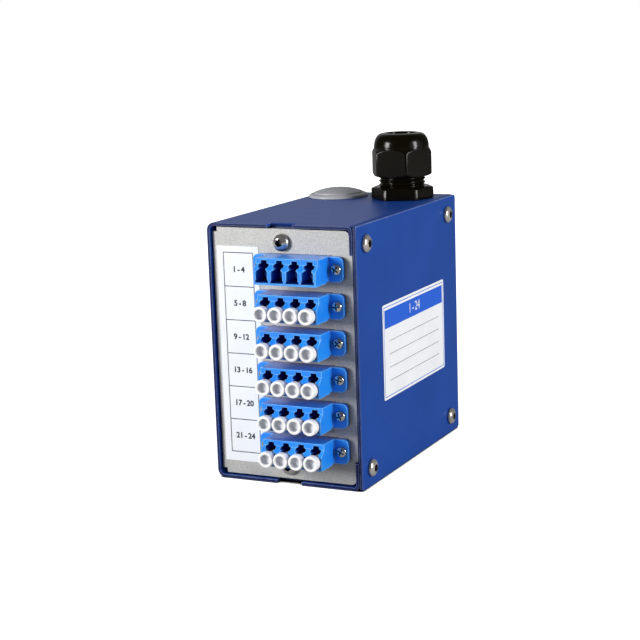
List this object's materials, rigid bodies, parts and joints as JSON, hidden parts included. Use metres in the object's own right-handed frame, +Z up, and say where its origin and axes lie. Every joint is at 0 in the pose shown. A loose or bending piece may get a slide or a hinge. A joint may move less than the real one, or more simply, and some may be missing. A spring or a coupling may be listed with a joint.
{
  "type": "din rail fibre box",
  "caption": "Small folded-steel fibre patch box for a DIN rail: a column of duplex-latch adapters on the front plate, dust caps, a cable gland on top and a sprung rail clip behind.",
  "frame": {"origin": "centre of the box's base, on the face it stands on", "axes": "+Z up, -Y out of the front plate, +X out of the side cover, +Y towards the rail"},
  "size_m": [0.0649, 0.1266, 0.1268],
  "materials": {
    "blue_powder_coat": "satin powder coat",
    "zinc_plate": "matt zinc plating with fine grain",
    "stainless_steel": "bright turned steel",
    "spring_steel": "plain drawn wire",
    "label_film": "satin white film",
    "adapter_plastic": "semi-gloss moulded plastic",
    "cap_plastic": "semi-gloss white plastic",
    "black_polyamide": "glossy moulded plastic",
    "clip_polyamide": "fine-grained moulded plastic",
    "seal_rubber": "matt",
    "grey_plastic": "satin moulded plastic",
    "tray_plastic": "satin moulded plastic"
  },
  "bodies": {
    "box": {"housing_shell": "blue_powder_coat", "side_cover": "blue_powder_coat", "side_cover_screw_1": "stainless_steel", "side_cover_screw_2": "stainless_steel", "side_cover_screw_3": "stainless_steel", "side_cover_screw_4": "stainless_steel", "front_plate": "zinc_plate", "front_plate_screw_top": "stainless_steel", "front_plate_screw_bottom": "stainless_steel", "port_label": "label_film", "side_label": "label_film", "adapter_row_1": "adapter_plastic", "adapter_row_2": "adapter_plastic", "adapter_row_3": "adapter_plastic", "adapter_row_4": "adapter_plastic", "adapter_row_5": "adapter_plastic", "adapter_row_6": "adapter_plastic", "adapter_screw_1_left": "stainless_steel", "adapter_screw_1_right": "stainless_steel", "adapter_screw_2_left": "stainless_steel", "adapter_screw_2_right": "stainless_steel", "adapter_screw_3_left": "stainless_steel", "adapter_screw_3_right": "stainless_steel", "adapter_screw_4_left": "stainless_steel", "adapter_screw_4_right": "stainless_steel", "adapter_screw_5_left": "stainless_steel", "adapter_screw_5_right": "stainless_steel", "adapter_screw_6_left": "stainless_steel", "adapter_screw_6_right": "stainless_steel", "gland_body": "black_polyamide", "gland_locknut": "black_polyamide", "blanking_plug": "grey_plastic", "splice_tray": "tray_plastic", "din_clip_body": "clip_polyamide", "din_clip_spring": "spring_steel", "din_clip_screw_1": "stainless_steel", "din_clip_screw_2": "stainless_steel"},
    "cap_2_1": {"dust_cap_2_1": "cap_plastic"},
    "cap_2_2": {"dust_cap_2_2": "cap_plastic"},
    "cap_2_3": {"dust_cap_2_3": "cap_plastic"},
    "cap_2_4": {"dust_cap_2_4": "cap_plastic"},
    "cap_3_1": {"dust_cap_3_1": "cap_plastic"},
    "cap_3_2": {"dust_cap_3_2": "cap_plastic"},
    "cap_3_3": {"dust_cap_3_3": "cap_plastic"},
    "cap_3_4": {"dust_cap_3_4": "cap_plastic"},
    "cap_4_1": {"dust_cap_4_1": "cap_plastic"},
    "cap_4_2": {"dust_cap_4_2": "cap_plastic"},
    "cap_4_3": {"dust_cap_4_3": "cap_plastic"},
    "cap_4_4": {"dust_cap_4_4": "cap_plastic"},
    "cap_5_1": {"dust_cap_5_1": "cap_plastic"},
    "cap_5_2": {"dust_cap_5_2": "cap_plastic"},
    "cap_5_3": {"dust_cap_5_3": "cap_plastic"},
    "cap_5_4": {"dust_cap_5_4": "cap_plastic"},
    "cap_6_1": {"dust_cap_6_1": "cap_plastic"},
    "cap_6_2": {"dust_cap_6_2": "cap_plastic"},
    "cap_6_3": {"dust_cap_6_3": "cap_plastic"},
    "cap_6_4": {"dust_cap_6_4": "cap_plastic"},
    "gland_insert": {"gland_seal": "seal_rubber"},
    "gland_nut": {"gland_dome_nut": "black_polyamide"},
    "rail_latch": {"din_clip_latch": "zinc_plate"}
  },
  "joints": [
    {"name": "cap_2_1_pull", "type": "slide", "parent": "box", "child": "cap_2_1", "axis": [0, -1, 0], "range_m": [0, 0.012]},
    {"name": "cap_2_2_pull", "type": "slide", "parent": "box", "child": "cap_2_2", "axis": [0, -1, 0], "range_m": [0, 0.012]},
    {"name": "cap_2_3_pull", "type": "slide", "parent": "box", "child": "cap_2_3", "axis": [0, -1, 0], "range_m": [0, 0.012]},
    {"name": "cap_2_4_pull", "type": "slide", "parent": "box", "child": "cap_2_4", "axis": [0, -1, 0], "range_m": [0, 0.012]},
    {"name": "cap_3_1_pull", "type": "slide", "parent": "box", "child": "cap_3_1", "axis": [0, -1, 0], "range_m": [0, 0.012]},
    {"name": "cap_3_2_pull", "type": "slide", "parent": "box", "child": "cap_3_2", "axis": [0, -1, 0], "range_m": [0, 0.012]},
    {"name": "cap_3_3_pull", "type": "slide", "parent": "box", "child": "cap_3_3", "axis": [0, -1, 0], "range_m": [0, 0.012]},
    {"name": "cap_3_4_pull", "type": "slide", "parent": "box", "child": "cap_3_4", "axis": [0, -1, 0], "range_m": [0, 0.012]},
    {"name": "cap_4_1_pull", "type": "slide", "parent": "box", "child": "cap_4_1", "axis": [0, -1, 0], "range_m": [0, 0.012]},
    {"name": "cap_4_2_pull", "type": "slide", "parent": "box", "child": "cap_4_2", "axis": [0, -1, 0], "range_m": [0, 0.012]},
    {"name": "cap_4_3_pull", "type": "slide", "parent": "box", "child": "cap_4_3", "axis": [0, -1, 0], "range_m": [0, 0.012]},
    {"name": "cap_4_4_pull", "type": "slide", "parent": "box", "child": "cap_4_4", "axis": [0, -1, 0], "range_m": [0, 0.012]},
    {"name": "cap_5_1_pull", "type": "slide", "parent": "box", "child": "cap_5_1", "axis": [0, -1, 0], "range_m": [0, 0.012]},
    {"name": "cap_5_2_pull", "type": "slide", "parent": "box", "child": "cap_5_2", "axis": [0, -1, 0], "range_m": [0, 0.012]},
    {"name": "cap_5_3_pull", "type": "slide", "parent": "box", "child": "cap_5_3", "axis": [0, -1, 0], "range_m": [0, 0.012]},
    {"name": "cap_5_4_pull", "type": "slide", "parent": "box", "child": "cap_5_4", "axis": [0, -1, 0], "range_m": [0, 0.012]},
    {"name": "cap_6_1_pull", "type": "slide", "parent": "box", "child": "cap_6_1", "axis": [0, -1, 0], "range_m": [0, 0.012]},
    {"name": "cap_6_2_pull", "type": "slide", "parent": "box", "child": "cap_6_2", "axis": [0, -1, 0], "range_m": [0, 0.012]},
    {"name": "cap_6_3_pull", "type": "slide", "parent": "box", "child": "cap_6_3", "axis": [0, -1, 0], "range_m": [0, 0.012]},
    {"name": "cap_6_4_pull", "type": "slide", "parent": "box", "child": "cap_6_4", "axis": [0, -1, 0], "range_m": [0, 0.012]},
    {"name": "gland_insert_lift", "type": "slide", "parent": "box", "child": "gland_insert", "axis": [0, 0, 1], "range_m": [0, 0.003]},
    {"name": "gland_nut_turn", "type": "hinge", "parent": "gland_insert", "child": "gland_nut", "pos_m": [0.01373, 0.03482, 0.1], "axis": [0, 0, 1], "range_deg": [0, 720]},
    {"name": "rail_latch_pull", "type": "slide", "parent": "box", "child": "rail_latch", "axis": [0, 0, -1], "range_m": [0, 0.0045], "stiffness_N_per_m": 1500, "springref_m": -0.002, "deforming": ["din_clip_spring"]}
  ],
  "couplings": [
    {"joint": "gland_nut_turn", "follows": "gland_insert_lift", "rad_per_m": 4188.8}
  ]
}
